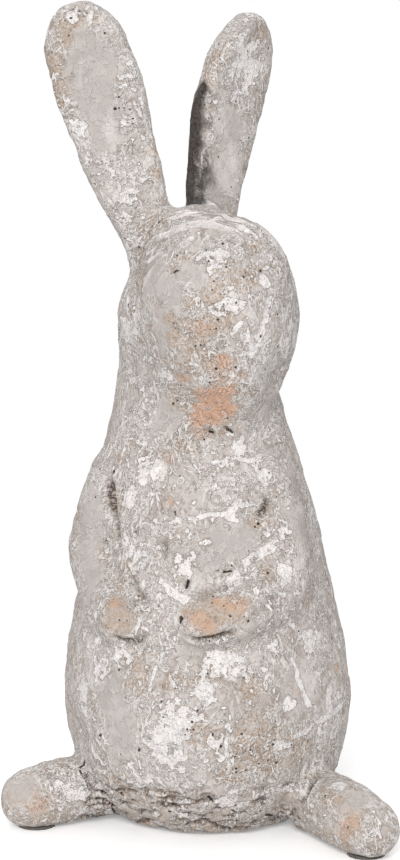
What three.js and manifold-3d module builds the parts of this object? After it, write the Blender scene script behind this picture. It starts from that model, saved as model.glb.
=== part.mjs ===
// A standing rabbit figurine of cast resin, in millimetres, with +Z up and the table at Z = 0.
// The body faces -Y and the head is turned. Left and right are the rabbit's own, so its left is +X.
import * as THREE from "three";
import { mergeVertices } from "three/addons/utils/BufferGeometryUtils.js";
import Module from "manifold-3d";

const solids = await Module();
solids.setup();

// Joints between the castings: the glue round a joint face and round a pin, and the pin's end room
const glueLine = 0.3;
const pinFit = 0.3;
const pinEndRoom = 0.8;

// Trunk: the pear from the sole up to the nape, as level sections that a smooth curve joins
const feltThickness = 1;
const sole = { height: feltThickness, halfWidth: 36, front: 36, back: 35, across: 0.5, along: 0 };
const skirt = { height: 9, halfWidth: 43.5, front: 44, back: 42, across: 0.5, along: 0 };
const haunch = { height: 20, halfWidth: 49.5, front: 50, back: 47.5, across: 0.5, along: 0 };
const belly = { height: 48, halfWidth: 53, front: 55, back: 51, across: 0.3, along: 0 };
const waist = { height: 90, halfWidth: 45.8, front: 46, back: 45, across: -0.6, along: 0.5 };
const chest = { height: 130, halfWidth: 37.6, front: 35.5, back: 37.5, across: -2.6, along: 1 };
const throat = { height: 160, halfWidth: 30, front: 27, back: 30, across: -4, along: 0 };
const nape = { height: 198, halfWidth: 26, front: 22, back: 26.5, across: -3.2, along: -1 };
const trunkSections = [sole, skirt, haunch, belly, waist, chest, throat, nape];
const napeTop = 228;

// Torso casting: the trunk below the neck joint, hollow, with a rebated opening under it
const neckJointHeight = throat.height;
const torsoWall = 7;
const torsoTopWall = 14;
const torsoFloorWall = 9;
const openingRadius = 25;
const plateRadius = 29;
const plateThickness = 5;
const ventRadius = 5;
const baseFeltRadius = 31;

// Head: an egg, turned to the rabbit's left, that hangs over the chest in front of the nape
const headCentre = new THREE.Vector3(7.4, -12.4, 190);
const headTurn = 46;
const headHalfWidth = 30;
const headFront = 29;
const headBack = 30;
const headUp = 37;
const headDown = 37;
const muzzleReach = 7;
const muzzleDrop = 60;
const muzzleSpread = 36;
const neckDowelRadius = 4;
const neckDowelInHead = 24;

// Ears: paddles with a shallow scoop in front. Places are the head's own, from its centre.
const earSpacing = 13.5;
const earSetBack = 29.5;
const earRise = 29;
const earLean = 4;
const earRoot = 12;
const earHalfWidths = [[-0.2, 11], [0.08, 11.6], [0.27, 13.4], [0.43, 15], [0.6, 16.2], [0.78, 15.4]];
const earHalfThickness = 6;
const earScoop = 2;
const earSquareness = 0.75;
const ears = {
  left: { length: 79, splay: 12.5, bend: 4, twist: 16 },
  right: { length: 87, splay: 18.5, bend: -1, twist: 20 },
};
const earPinRadius = 1.6;
const earPinInHead = 20;
const earPinInEar = 26;

// Arms: limbs that lie on the trunk from the shoulder round the elbow to the paw
const armShoulder = { turn: 66, height: 140, standOff: -12 };
const armUpper = { turn: 61, height: 119, standOff: -6 };
const armElbow = { turn: 63, height: 99, standOff: -4.2 };
const armForearm = { turn: 46, height: 89, standOff: -2.6 };
const armPaws = {
  left: { turn: 4, height: 80, standOff: 0.5 },
  right: { turn: 17, height: 77, standOff: 0.5 },
};
const armUpperRadius = 12.2;
const armElbowRadius = 11;
const armPawRadius = 8;
const armPinRadius = 1.5;
const armPinCover = 3;

// Feet: rounded wedges that point out to the sides
const footLength = 58;
const footYaw = 47;
const footToes = {
  left: { across: 81, forward: 49 },
  right: { across: 64, forward: 49 },
};
const footToeRadius = 10;
const footMidRadius = 12.5;
const footHeelRadius = 12;
const footSink = 2;
const footPinRadius = 2;
const footPinInFoot = 18;
const footFeltRadius = 7;

// Tail: a round tuft low on the back
const tailRadius = 13;
const tailPlace = { turn: 180, height: 24, standOff: 4 };
const tailPinRadius = 1.5;
const tailPinInTail = 10;

// How far a pin's end stops short of the torso's hollow, and how far a cutter runs past what it cuts
const pinStop = 2;
const cutPast = 1;

// How finely round forms are cut
const trunkSides = 40;
const trunkRings = 26;
const napeRings = 6;
const eggSides = 30;
const eggRings = 20;
const limbSides = 14;
const limbRings = 24;
const earSides = 16;
const earRings = 16;
const tailSides = 20;
const tailRings = 14;
const pinSides = 10;
const discSides = 32;
const leastShare = 0.03;

const radians = THREE.MathUtils.degToRad;
const up = new THREE.Vector3(0, 0, 1);

// Reads a smooth curve through [place, value] points at one place. It is level where it turns back.
function smoothAt(points, place) {
  const last = points.length - 1;
  if (place <= points[0][0]) return points[0][1];
  if (place >= points[last][0]) return points[last][1];
  const slope = (i) => (points[i + 1][1] - points[i][1]) / (points[i + 1][0] - points[i][0]);
  const tangent = (i) => {
    if (i === 0) return slope(0);
    if (i === last) return slope(last - 1);
    const [before, after] = [slope(i - 1), slope(i)];
    return before * after <= 0 ? 0 : (2 * before * after) / (before + after);
  };
  const i = points.findIndex((point, n) => n < last && place <= points[n + 1][0]);
  const span = points[i + 1][0] - points[i][0];
  const t = (place - points[i][0]) / span;
  const rise = t * t * (3 - 2 * t);
  return (
    points[i][1] * (1 - rise) +
    points[i + 1][1] * rise +
    span * (tangent(i) * t * (1 - t) ** 2 - tangent(i + 1) * t * t * (1 - t))
  );
}

// The trunk's level section at one height: its half width, its depths and its centre.
const trunkBottom = feltThickness;
const domeStart = nape.height;
function trunkAt(height) {
  const read = (size) => smoothAt(trunkSections.map((section) => [section.height, section[size]]), height);
  const climb = THREE.MathUtils.clamp((height - domeStart) / (napeTop - domeStart), 0, 1);
  const dome = Math.sqrt(1 - climb * climb);
  return {
    halfWidth: read("halfWidth") * dome,
    front: read("front") * dome,
    back: read("back") * dome,
    across: read("across"),
    along: read("along"),
  };
}

// A point on the trunk, turned from the front towards the rabbit's left, and stood off outwards.
function onTrunk({ turn, height, standOff }) {
  const section = trunkAt(height);
  const facing = Math.cos(radians(turn));
  const depth = facing > 0 ? section.front : section.back;
  return new THREE.Vector3(
    section.across + Math.max(section.halfWidth + standOff, 0.1) * Math.sin(radians(turn)),
    section.along - Math.max(depth + standOff, 0.1) * facing,
    height,
  );
}

// Where the line from a point outside the trunk to one inside it crosses the surface.
function meetTrunk(outside, inside) {
  const isInside = (point) => {
    const section = trunkAt(point.z);
    const depth = point.y < section.along ? section.front : section.back;
    return Math.hypot((point.x - section.across) / section.halfWidth, (point.y - section.along) / depth) < 1;
  };
  const [out, into] = [outside.clone(), inside.clone()];
  while (out.distanceTo(into) > glueLine / 10) {
    const middle = out.clone().lerp(into, 0.5);
    (isInside(middle) ? into : out).copy(middle);
  }
  return into;
}

// A closed skin over rings of points, each end drawn to the middle of its ring.
function loft(rings) {
  const sides = rings[0].length;
  const middle = (ring) =>
    ring.reduce((sum, point) => sum.add(point), new THREE.Vector3()).divideScalar(sides);
  const points = [...rings.flat(), middle(rings[0]), middle(rings.at(-1))];
  const [bottom, top] = [points.length - 2, points.length - 1];
  const lastRing = (rings.length - 1) * sides;
  const faces = [];
  for (let side = 0; side < sides; side++) {
    const next = (side + 1) % sides;
    faces.push(bottom, next, side, top, lastRing + side, lastRing + next);
    for (let ring = 0; ring < lastRing; ring += sides) {
      const [a, b] = [ring + side, ring + next];
      faces.push(a, b, b + sides, a, b + sides, a + sides);
    }
  }
  return new THREE.BufferGeometry().setFromPoints(points).setIndex(faces);
}

// The heights at which every form of the trunk has a ring, closer together over the domed nape
const trunkLevels = [];
for (let i = 0; i < trunkRings; i++) {
  trunkLevels.push(trunkBottom + ((domeStart - trunkBottom) * i) / trunkRings);
}
for (let i = 0; i <= napeRings; i++) {
  trunkLevels.push(domeStart + (napeTop - domeStart) * Math.sin((i / napeRings) * (Math.PI / 2)));
}

// The trunk between two heights, made larger or smaller all round by grow.
function trunkForm({ from, to, grow = 0 }) {
  const between = trunkLevels.filter((level) => level > from + glueLine && level < to - glueLine);
  const rings = [from, ...between, to].map((height) => {
    const ring = [];
    for (let side = 0; side < trunkSides; side++) {
      ring.push(onTrunk({ turn: (side / trunkSides) * 360, height, standOff: grow }));
    }
    return ring;
  });
  return loft(rings);
}

// The head's egg in its own frame, facing -Y, made larger by grow.
function eggForm(grow = 0) {
  const egg = new THREE.SphereGeometry(1, eggSides, eggRings).rotateX(Math.PI / 2);
  const position = egg.getAttribute("position");
  const muzzle = new THREE.Vector3(0, -Math.cos(radians(muzzleDrop)), -Math.sin(radians(muzzleDrop)));
  const way = new THREE.Vector3();
  for (let i = 0; i < position.count; i++) {
    way.fromBufferAttribute(position, i).normalize();
    const off = THREE.MathUtils.radToDeg(way.angleTo(muzzle)) / muzzleSpread;
    const swell = muzzleReach * Math.exp(-off * off);
    position.setXYZ(
      i,
      way.x * (headHalfWidth + grow) + muzzle.x * swell,
      way.y * ((way.y < 0 ? headFront : headBack) + grow) + muzzle.y * swell,
      way.z * ((way.z > 0 ? headUp : headDown) + grow) + muzzle.z * swell,
    );
  }
  return egg;
}

// A sine or cosine pushed outwards, which makes a round section a little square.
const squared = (value) => Math.sign(value) * Math.abs(value) ** earSquareness;

// An ear in its own frame: it leaves the head at the origin and rises along +Z, its scoop facing -Y.
function earForm(length, bend) {
  const rings = [];
  const tipStart = earHalfWidths.at(-1)[0];
  for (let i = 0; i <= earRings; i++) {
    const along = (earRoot + length) * Math.sin((i / earRings) * (Math.PI / 2)) - earRoot;
    const t = along / length;
    const climb = Math.max(0, (t - tipStart) / (1 - tipStart));
    const tip = Math.max(Math.sqrt(1 - climb * climb), leastShare);
    const scoop = earScoop * Math.sin(Math.PI * THREE.MathUtils.clamp(t, 0, 1)) * tip;
    const ring = [];
    for (let side = 0; side < earSides; side++) {
      const angle = (side / earSides) * 2 * Math.PI;
      const across = squared(Math.sin(angle));
      const facing = squared(Math.cos(angle));
      const dish = facing > 0 ? scoop * facing * (1 - across * across) : 0;
      ring.push(
        new THREE.Vector3(
          bend * t * t + smoothAt(earHalfWidths, t) * tip * across,
          dish - earHalfThickness * tip ** 0.7 * facing,
          along,
        ),
      );
    }
    rings.push(ring);
  }
  return loft(rings);
}

// A limb round a path, with round ends. A curve through [share of its length, radius] gives its girth.
function limbForm(path, radii) {
  const frames = path.computeFrenetFrames(limbRings, false);
  const length = path.getLength();
  const rings = [];
  for (let i = 0; i <= limbRings; i++) {
    const t = (1 - Math.cos((i / limbRings) * Math.PI)) / 2;
    const frame = Math.round(t * limbRings);
    const girth = smoothAt(radii, t);
    const toEnd = Math.min(t, 1 - t) * length;
    const round = toEnd < girth ? Math.sqrt(1 - (1 - toEnd / girth) ** 2) : 1;
    const radius = girth * Math.max(round, leastShare);
    const centre = path.getPointAt(t);
    const ring = [];
    for (let side = 0; side < limbSides; side++) {
      const angle = (side / limbSides) * 2 * Math.PI;
      ring.push(
        centre
          .clone()
          .addScaledVector(frames.normals[frame], Math.cos(angle) * radius)
          .addScaledVector(frames.binormals[frame], Math.sin(angle) * radius),
      );
    }
    rings.push(ring);
  }
  return loft(rings);
}

// A disc or rod along +Z that starts at the given height.
const rodForm = (radius, length, sides, start = 0) =>
  new THREE.CylinderGeometry(radius, radius, length, sides)
    .rotateX(Math.PI / 2)
    .translate(0, 0, start + length / 2);

// One geometry as a solid, and one solid as a geometry.
function toSolid(geometry) {
  const bare = new THREE.BufferGeometry()
    .setAttribute("position", geometry.getAttribute("position"))
    .setIndex(geometry.index);
  const merged = mergeVertices(bare, 1e-4);
  return new solids.Manifold(
    new solids.Mesh({
      numProp: 3,
      vertProperties: merged.getAttribute("position").array,
      triVerts: new Uint32Array(merged.index.array),
    }),
  );
}

function toGeometry(solid) {
  const { vertProperties, triVerts } = solid.getMesh();
  return new THREE.BufferGeometry()
    .setAttribute("position", new THREE.BufferAttribute(vertProperties, 3))
    .setIndex(new THREE.BufferAttribute(triVerts, 1));
}

// A mesh's solid in the figure's frame, and a changed solid put back in the mesh's own frame.
function worldSolid(mesh) {
  mesh.updateWorldMatrix(true, false);
  return toSolid(mesh.geometry.clone().applyMatrix4(mesh.matrixWorld));
}

function reshape(mesh, solid) {
  mesh.geometry = toGeometry(solid).applyMatrix4(mesh.matrixWorld.clone().invert());
}

const cut = (mesh, ...tools) =>
  reshape(mesh, tools.reduce((left, tool) => left.subtract(tool), worldSolid(mesh)));

const castResin = () => new THREE.MeshStandardMaterial({ color: 0xc8c1ba, roughness: 0.92, metalness: 0 });
const fillerResin = () => new THREE.MeshStandardMaterial({ color: 0xb4aca3, roughness: 0.95, metalness: 0 });
const steel = () => new THREE.MeshStandardMaterial({ color: 0x9b9da0, roughness: 0.35, metalness: 1 });
const beech = () => new THREE.MeshStandardMaterial({ color: 0xc9a574, roughness: 0.7, metalness: 0 });
const felt = () => new THREE.MeshStandardMaterial({ color: 0x6f6a64, roughness: 1, metalness: 0 });

const rabbit = new THREE.Group();

function piece(name, geometry, material, parent = rabbit) {
  const mesh = new THREE.Mesh(geometry, material);
  mesh.name = name;
  parent.add(mesh);
  return mesh;
}

// A pin glued into two castings, along a way that leads out of the carrier into the limb.
function pinJoint({ name, material, radius, joint, way, inCarrier, inLimb, castings }) {
  const turn = new THREE.Quaternion().setFromUnitVectors(up, way);
  const pin = piece(name, rodForm(radius, inCarrier + inLimb, pinSides, -inCarrier), material);
  pin.quaternion.copy(turn);
  pin.position.copy(joint);
  const length = inCarrier + inLimb + 2 * pinEndRoom;
  const bore = rodForm(radius + pinFit, length, pinSides, -inCarrier - pinEndRoom)
    .applyQuaternion(turn)
    .translate(...joint);
  castings.forEach((casting) => cut(casting, toSolid(bore)));
}

const inTorsoWall = torsoWall - pinStop;

// Torso, with its hollow, its opening and the rebate that the plate closes
const torso = piece("torso", trunkForm({ from: trunkBottom, to: neckJointHeight }), castResin());
cut(
  torso,
  toSolid(
    trunkForm({
      from: trunkBottom + torsoFloorWall,
      to: neckJointHeight - torsoTopWall,
      grow: -torsoWall,
    }),
  ),
  toSolid(rodForm(openingRadius, torsoFloorWall + 2 * cutPast, discSides, trunkBottom - cutPast)),
  toSolid(rodForm(plateRadius + glueLine, plateThickness + cutPast, discSides, trunkBottom - cutPast)),
);

// Plate, with the vent hole through it, and the felt that covers it
const plateForm = rodForm(plateRadius, plateThickness, discSides, trunkBottom);
const basePlate = piece("base_plate", plateForm, fillerResin());
const ventLength = plateThickness + 2 * cutPast;
cut(basePlate, toSolid(rodForm(ventRadius, ventLength, discSides / 2, trunkBottom - cutPast)));
piece("base_felt", rodForm(baseFeltRadius, feltThickness, discSides), felt());

// What other castings rest against, stood off by the glue line
const roomStart = trunkBottom - cutPast;
const trunkRoom = toSolid(trunkForm({ from: roomStart, to: napeTop, grow: glueLine }));
const torsoRoom = toSolid(
  trunkForm({ from: roomStart, to: neckJointHeight, grow: glueLine }).translate(0, 0, glueLine),
);

// Head, one casting with the nape
const headGroup = new THREE.Group();
headGroup.position.copy(headCentre);
headGroup.rotation.z = radians(headTurn);
rabbit.add(headGroup);
const head = piece("head", eggForm(), castResin(), headGroup);
const napeForm = toSolid(trunkForm({ from: neckJointHeight, to: napeTop }));
reshape(head, worldSolid(head).add(napeForm).subtract(torsoRoom));
const neck = trunkAt(neckJointHeight);
pinJoint({
  name: "neck_dowel",
  material: beech(),
  radius: neckDowelRadius,
  joint: new THREE.Vector3(neck.across, neck.along, neckJointHeight),
  way: up,
  inCarrier: torsoTopWall - pinStop,
  inLimb: neckDowelInHead,
  castings: [torso, head],
});

// Ears
const headRoom = toSolid(eggForm(glueLine).applyMatrix4(headGroup.matrixWorld)).add(trunkRoom);
for (const [side, sign] of [["left", 1], ["right", -1]]) {
  const { length, splay, bend, twist } = ears[side];
  const seat = new THREE.Group();
  seat.position.set(sign * earSpacing, earSetBack, earRise);
  seat.rotation.set(-radians(earLean), sign * radians(splay), 0);
  headGroup.add(seat);
  const ear = piece("ear_" + side, earForm(length, sign * bend), castResin(), seat);
  ear.rotation.z = sign * radians(twist);
  cut(ear, headRoom);
  pinJoint({
    name: "ear_pin_" + side,
    material: steel(),
    radius: earPinRadius,
    joint: seat.getWorldPosition(new THREE.Vector3()),
    way: up.clone().transformDirection(seat.matrixWorld),
    inCarrier: earPinInHead,
    inLimb: earPinInEar,
    castings: [ear, head],
  });
}

// Arms
for (const [side, sign] of [["left", 1], ["right", -1]]) {
  const paw = armPaws[side];
  const wrist = {
    turn: (armForearm.turn + paw.turn) / 2,
    height: (armForearm.height + paw.height) / 2,
    standOff: (armForearm.standOff + paw.standOff) / 2,
  };
  const stops = [armShoulder, armUpper, armElbow, armForearm, wrist, paw];
  const path = new THREE.CatmullRomCurve3(stops.map((stop) => onTrunk({ ...stop, turn: sign * stop.turn })));
  const radii = [[0, armUpperRadius], [0.35, armUpperRadius], [0.6, armElbowRadius], [1, armPawRadius]];
  const arm = piece("arm_" + side, limbForm(path, radii), castResin());
  cut(arm, trunkRoom);
  const turn = sign * armElbow.turn;
  pinJoint({
    name: "arm_pin_" + side,
    material: steel(),
    radius: armPinRadius,
    joint: onTrunk({ turn, height: armElbow.height, standOff: 0 }),
    way: new THREE.Vector3(Math.sin(radians(turn)), -Math.cos(radians(turn)), 0),
    inCarrier: inTorsoWall,
    inLimb: armElbow.standOff + armElbowRadius - armPinCover,
    castings: [arm, torso],
  });
}

// Feet, each with a flat sole and a felt pad under the toes
const underfoot = toSolid(rodForm(napeTop, footSink + cutPast, discSides, trunkBottom - footSink - cutPast));
for (const [side, sign] of [["left", 1], ["right", -1]]) {
  const way = new THREE.Vector3(sign * Math.sin(radians(footYaw)), -Math.cos(radians(footYaw)), 0);
  const axisHeight = (radius) => trunkBottom + radius - footSink;
  const { across, forward } = footToes[side];
  const toe = new THREE.Vector3(sign * across, -forward, axisHeight(footToeRadius));
  const heel = toe.clone().addScaledVector(way, -footLength).setZ(axisHeight(footHeelRadius));
  const middle = heel.clone().lerp(toe, 0.5).setZ(axisHeight(footMidRadius));
  const radii = [[0, footHeelRadius], [0.5, footMidRadius], [1, footToeRadius]];
  const path = new THREE.CatmullRomCurve3([heel, middle, toe]);
  const foot = piece("foot_" + side, limbForm(path, radii), castResin());
  cut(foot, trunkRoom, underfoot);
  pinJoint({
    name: "foot_pin_" + side,
    material: steel(),
    radius: footPinRadius,
    joint: meetTrunk(toe.clone().setZ(heel.z), heel),
    way,
    inCarrier: inTorsoWall,
    inLimb: footPinInFoot,
    castings: [foot, torso],
  });
  const pad = piece("foot_felt_" + side, rodForm(footFeltRadius, feltThickness, discSides / 2), felt());
  pad.position.set(toe.x, toe.y, 0).addScaledVector(way, -footToeRadius - footFeltRadius / 2);
}

// Tail
const tail = piece("tail", new THREE.SphereGeometry(tailRadius, tailSides, tailRings), castResin());
tail.position.copy(onTrunk(tailPlace));
cut(tail, trunkRoom);
pinJoint({
  name: "tail_pin",
  material: steel(),
  radius: tailPinRadius,
  joint: onTrunk({ ...tailPlace, standOff: 0 }),
  way: new THREE.Vector3(0, 1, 0),
  inCarrier: inTorsoWall,
  inLimb: tailPinInTail,
  castings: [tail, torso],
});

// The origin goes to the middle of the whole figure's outline on the table.
const outline = new THREE.Box3().setFromObject(rabbit, true);
rabbit.children.forEach((child) => {
  child.position.x -= (outline.min.x + outline.max.x) / 2;
  child.position.y -= (outline.min.y + outline.max.y) / 2;
});

export default rabbit;
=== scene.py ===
import math

import bmesh
import bpy
import numpy as np
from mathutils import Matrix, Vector
from mathutils.bvhtree import BVHTree


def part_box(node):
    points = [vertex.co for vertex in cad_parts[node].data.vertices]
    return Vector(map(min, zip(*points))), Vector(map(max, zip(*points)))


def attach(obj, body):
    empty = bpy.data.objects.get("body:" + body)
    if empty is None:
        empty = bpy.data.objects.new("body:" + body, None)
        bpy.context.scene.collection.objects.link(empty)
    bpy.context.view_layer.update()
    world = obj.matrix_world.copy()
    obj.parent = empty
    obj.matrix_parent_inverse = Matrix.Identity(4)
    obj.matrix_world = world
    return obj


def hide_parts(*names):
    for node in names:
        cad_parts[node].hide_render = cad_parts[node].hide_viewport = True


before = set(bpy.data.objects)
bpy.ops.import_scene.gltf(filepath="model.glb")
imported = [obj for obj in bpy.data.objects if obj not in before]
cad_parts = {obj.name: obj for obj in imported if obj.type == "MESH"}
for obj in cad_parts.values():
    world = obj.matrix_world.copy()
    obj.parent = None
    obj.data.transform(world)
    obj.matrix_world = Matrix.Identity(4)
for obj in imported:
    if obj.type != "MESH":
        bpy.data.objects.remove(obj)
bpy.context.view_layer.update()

MM = 0.001

# Camera, from the photo: its turn round the trunk, its distance and rise, and how it is framed
PHOTO_WIDTH = 400
PHOTO_HEIGHT = 860
CAMERA_TURN = math.radians(16)
CAMERA_AWAY = 1.35
CAMERA_RISE = 0.425
AIM_HEIGHT = 0.1445
AIM_COLUMN = 207
FOCAL_PIXELS = 3740
SENSOR_HEIGHT = 24

# Studio: the world's light, each lamp's place, size and watts, and the white floor's colour, its own glow
# and how far out it fades away
WORLD_LIGHT = 0.59
LAMPS = {
    "key_light": ((0.22, -1.45, 1.0), 0.7, 16.5),
    "back_light": ((-0.3, 1.4, 1.2), 0.8, 9),
}
FLOOR_WHITE = (0.9, 0.9, 0.9, 1)
FLOOR_LIFT = (0.28, 0.28, 0.28, 1)
FLOOR_FADE = (0.14, 0.3)

# Castings of the figure, each a separate piece that stands for its solid
CASTINGS = [
    "torso", "head", "ear_left", "ear_right", "arm_left", "arm_right", "foot_left", "foot_right", "tail",
]
PLATE = "base_plate"

# Skin: how far the castings are welded and swollen, the cells that draw them together, what each round of
# smoothing pulls in and pushes out, the sole's level, and how it is parted, with joint faces under it
WELD = 0.001 * MM
SWELL = 0.5 * MM
CELL = 1.6 * MM
PULL_IN = 0.5
PUSH_OUT = -0.52
SMOOTHING_ROUNDS = 34
SOLE_LEVEL = 1.0 * MM
STRAIGHTENING_ROUNDS = 3
JOINT_DEPTH = 1.5 * MM

# Where the skin is pushed to the photo's outline: a column and a row, the push to the right and up in mm,
# and how far round it reaches in mm
PUSHED = {
    "left_ear_top": (64, 12, -1.1, 0.3, 9),
    "left_ear_back": (94, 185, -1.2, 0, 14),
    "right_ear_tip": (248, 24, 1.6, 0, 15),
    "right_ear_top": (234, 19, 3.4, -0.8, 10),
    "right_ear_bend": (221, 36, 3.6, 0, 12),
    "right_ear_front": (199, 116, -1.9, 0, 14),
    "right_ear_side": (195, 160, -1.0, 0, 16),
    "head_corner": (268, 250, 2.6, 0, 18),
    "head_top": (250, 228, 1.6, 0.6, 12),
    "nape_top": (127, 250, 2.7, 0, 15),
    "nape": (130, 322, -3.6, 0, 21),
    "notch": (280, 376, -3.6, 0, 14),
    "right_elbow": (80, 570, 4.8, 0, 21),
    "right_upper_arm": (78, 520, 1.0, 0, 14),
    "haunch": (74, 733, 3.6, 0, 16),
    "left_elbow": (312, 538, -1.6, 0, 14),
    "left_hip": (344, 700, 2.0, 0, 16),
}

# Where the castings' joints were filled and rubbed down: a path by the photo's columns and rows, its reach
# in mm, and how many rounds of rubbing
FILLED = {
    "chin": ([(136, 345), (150, 385), (166, 410), (194, 430), (232, 434)], 22, 300),
    "left_of_neck": ([(124, 395), (120, 440)], 12, 70),
    "right_shoulder": ([(106, 470), (112, 460)], 8, 70),
    "left_shoulder": ([(262, 455), (285, 480)], 13, 70),
    "left_elbow": ([(316, 560), (310, 595), (290, 600)], 12, 70),
    "left_forearm": ([(215, 575), (250, 555)], 8, 70),
    "right_forearm": ([(82, 590), (90, 615)], 9, 70),
}

# Creases and slits left in the casting: a path by the photo's columns and rows, depth and half width in mm
CREASES = {
    "nape": ([(141, 246), (136, 272), (135, 305), (139, 338)], 0.8, 2.2),
    "crown": ([(141, 253), (150, 238), (176, 218)], 0.6, 1.8),
    "cheek": ([(150, 351), (175, 353), (205, 348), (222, 342)], 0.5, 1.8),
    "chin_slit": ([(204, 430), (211, 433), (218, 436)], 2, 1.4),
    "chin_slit_end": ([(222, 427), (228, 429), (235, 432)], 1.6, 1.3),
    "right_armpit": ([(105, 470), (109, 485), (112, 502), (115, 526)], 3.8, 3.3),
    "right_arm": ([(111, 492), (116, 525), (118, 545), (125, 570)], 2.4, 1.9),
    "right_forearm": ([(122, 562), (136, 588), (148, 606), (152, 622)], 1.6, 2.2),
    "right_paw": ([(102, 626), (110, 636), (124, 642), (138, 641), (148, 632), (152, 618)], 2.2, 2.1),
    "left_armpit": ([(273, 490), (266, 502), (261, 512), (256, 526)], 2.8, 2.2),
    "left_arm": ([(276, 598), (260, 612), (244, 624)], 1, 3),
    "left_paw": ([(250, 618), (238, 630), (215, 638), (197, 641), (182, 634), (178, 622)], 2.6, 2),
    "left_paw_top": ([(182, 612), (200, 597), (222, 588), (244, 580), (262, 566)], 1.4, 2.2),
    "paw_gap": ([(189, 579), (187, 584), (184, 591)], 2.2, 1.4),
    "paw_tip": ([(184, 614), (181, 620), (178, 628)], 2.4, 1.4),
    "chest_fold": ([(165, 536), (166, 548), (163, 562)], 1.8, 1.4),
    "chest_pit": ([(133, 529), (136, 536)], 2, 1.3),
    "shoulder_pit": ([(259, 464), (263, 472)], 2, 1.3),
    "right_foot": ([(83, 757), (86, 775), (93, 790), (104, 806)], 2.2, 1.3),
    "right_ear_side": ([(192, 208), (191, 175), (195, 140), (205, 105)], 0.8, 5),
    "left_foot": ([(328, 762), (313, 780), (301, 800), (290, 814)], 3, 2.4),
}

# The share of a crease's length that fades out at each end
CREASE_END = 0.35

# Heights of the casting's relief, and the share of each crease's own depth, as inputs of its tree
RELIEF = {
    "Lumps": 0.9 * MM,
    "Dents": 0.55 * MM,
    "Worms": 0.3 * MM,
    "Flakes": 0.25 * MM,
    "Skirt crevices": 2.2 * MM,
    "Creases": 1.0,
}

# Crevices of the skirt above the table: between which heights, and which distances from the trunk's middle,
# they fade out, in mm
SKIRT_HEIGHTS = (13.2, 26.4)
SKIRT_DISTANCES = (51, 54)

# Paint and bare resin, as colours from 0 to 255, with painted shade and painted light among them
GREY = (195, 186, 180)
PALE_GREY = (207, 199, 194)
DARK_GREY = (177, 166, 158)
VEIL = (223, 217, 213)
WHITE = (241, 236, 233)
TAN = (184, 164, 146)
# Brown for the grain, and for painted shade along the films' edges
BROWN = (136, 117, 102)
# Painted shade for the side of the far ear that turns from the light
SHADE = (34, 28, 25)
# Orange of the chin, painted lighter than it is as painted light against the shade under the chin
ORANGE_WITH_PAINTED_LIGHT = (224, 176, 145)
TERRACOTTA = (202, 167, 143)
SMOOTH_GREY = (187, 180, 176)
# Dirt and painted shade in the creases and crevices
DIRT_AND_SHADE = (108, 90, 76)
# Painted shade in the pinholes and slits
PIT_SHADE = (34, 27, 22)

# Colours of the solids inside and underneath
FILLER = (166, 158, 149)
PALE_FILLER = (183, 176, 167)
FILLER_PIT = (120, 112, 104)
FELT = (84, 79, 75)
PALE_FELT = (124, 119, 113)
FELT_BLOTCH = (98, 92, 87)
BEECH = (203, 170, 126)
DARK_BEECH = (181, 143, 98)
BEECH_FLECK = (139, 101, 64)
STEEL = (146, 148, 151)
PALE_STEEL = (166, 168, 170)

# Films of paint: how large their patches are in mm, how ragged, and which noise draws them
FILMS = {
    "broad": (20, 5, 21),
    "middle": (10, 4, 22),
    "small": (5, 3, 23),
    "torn": (8, 5, 24),
    "flecks": (3.1, 3, 25),
}

# Placed marks: how far torn and flecked noise shift their edges, and the depths in the mark at which they
# set in and are full
RAGGED = {
    "bare": (0.5, 0, -0.1, 0.5),
    "veil": (0.6, 0, 0, 0.7),
    "wash": (0.7, 0.3, -0.9, 0.2),
    "tan": (0.6, 0, 0, 0.3),
    "terracotta": (0.6, 0.35, -0.1, 0.7),
    "orange": (0.6, 0.3, -0.15, 0.4),
}

# Splashes and pits, one in some cells of a Voronoi pattern: the cells' size in mm, the share of them that
# have one, its least and most radius in mm, which noise draws it, and how drawn out it is, from 0 to 1
DROPS = {
    "round": (7, 0.22, 0.35, 1.2, 61, 0),
    "shard": (6.5, 0.5, 0.25, 0.95, 63, 0.94),
    "splinter": (3.4, 0.4, 0.12, 0.36, 64, 0.94),
    "ring": (8, 0.42, 1.0, 2.1, 65, 0),
    "large_pit": (15, 0.25, 0.35, 0.75, 81, 0),
    "small_pit": (4.2, 0.36, 0.18, 0.44, 82, 0),
    "slit": (14, 0.3, 0.25, 0.5, 84, 0.93),
    "worn_pit": (2.4, 0.5, 0.2, 0.52, 85, 0),
    "filler_pit": (4, 0.3, 0.15, 0.5, 93, 0),
}

# Brush arcs round the face: the distances from its middle line where they set in and fade out, the heights
# above its middle where they set in, and how long and how far apart they are, in mm
ARCS_FROM = (24, 29)
ARCS_TO = (38, 44)
ARCS_ABOVE = (-28, -16)
ARC_LENGTH = 13
ARC_SPACING = 2.6

# Stands for far outside a mark, in shares of its size, or far outside a drop, in mm
FAR = 9.0

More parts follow.
